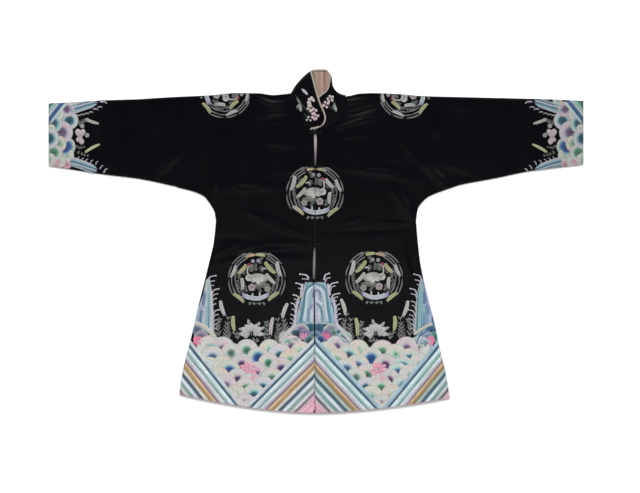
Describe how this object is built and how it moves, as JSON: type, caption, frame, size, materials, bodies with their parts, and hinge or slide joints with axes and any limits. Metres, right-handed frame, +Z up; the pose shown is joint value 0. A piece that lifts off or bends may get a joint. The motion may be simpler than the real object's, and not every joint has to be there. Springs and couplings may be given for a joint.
{
  "type": "satin jacket",
  "caption": "Short black silk satin jacket laid flat front up, with flared body, straight sleeves, stand collar, knotted frog closures and coloured silk embroidery at hem, cuffs and roundels.",
  "frame": {"origin": "centre of the base of the bounding box, on the surface that the jacket lies on", "axes": "+X from the viewer's left cuff to the right cuff, +Y from hem to collar, +Z up out of the front"},
  "size_m": [1.5, 0.9641, 0.0165],
  "materials": {
    "satin": "black silk satin, smooth with a soft sheen",
    "lining": "faded pink-tan silk, plain weave",
    "silk_thread": "glossy silk floss and braid in pale and bright colours",
    "cord": "rolled black satin cord"
  },
  "bodies": {
    "root": {"body_left": "satin", "body_right": "satin", "sleeve_left": "satin", "sleeve_right": "satin", "lining_back": "lining", "collar_shell": "satin", "collar_lining": "lining", "collar_binding": "silk_thread", "frog_neck_loop": "cord", "frog_neck_knot": "cord", "frog_chest_loop": "cord", "frog_chest_knot": "cord", "frog_waist_loop": "cord", "frog_waist_knot": "cord", "frog_lower_loop": "cord", "frog_lower_knot": "cord"}
  },
  "joints": []
}
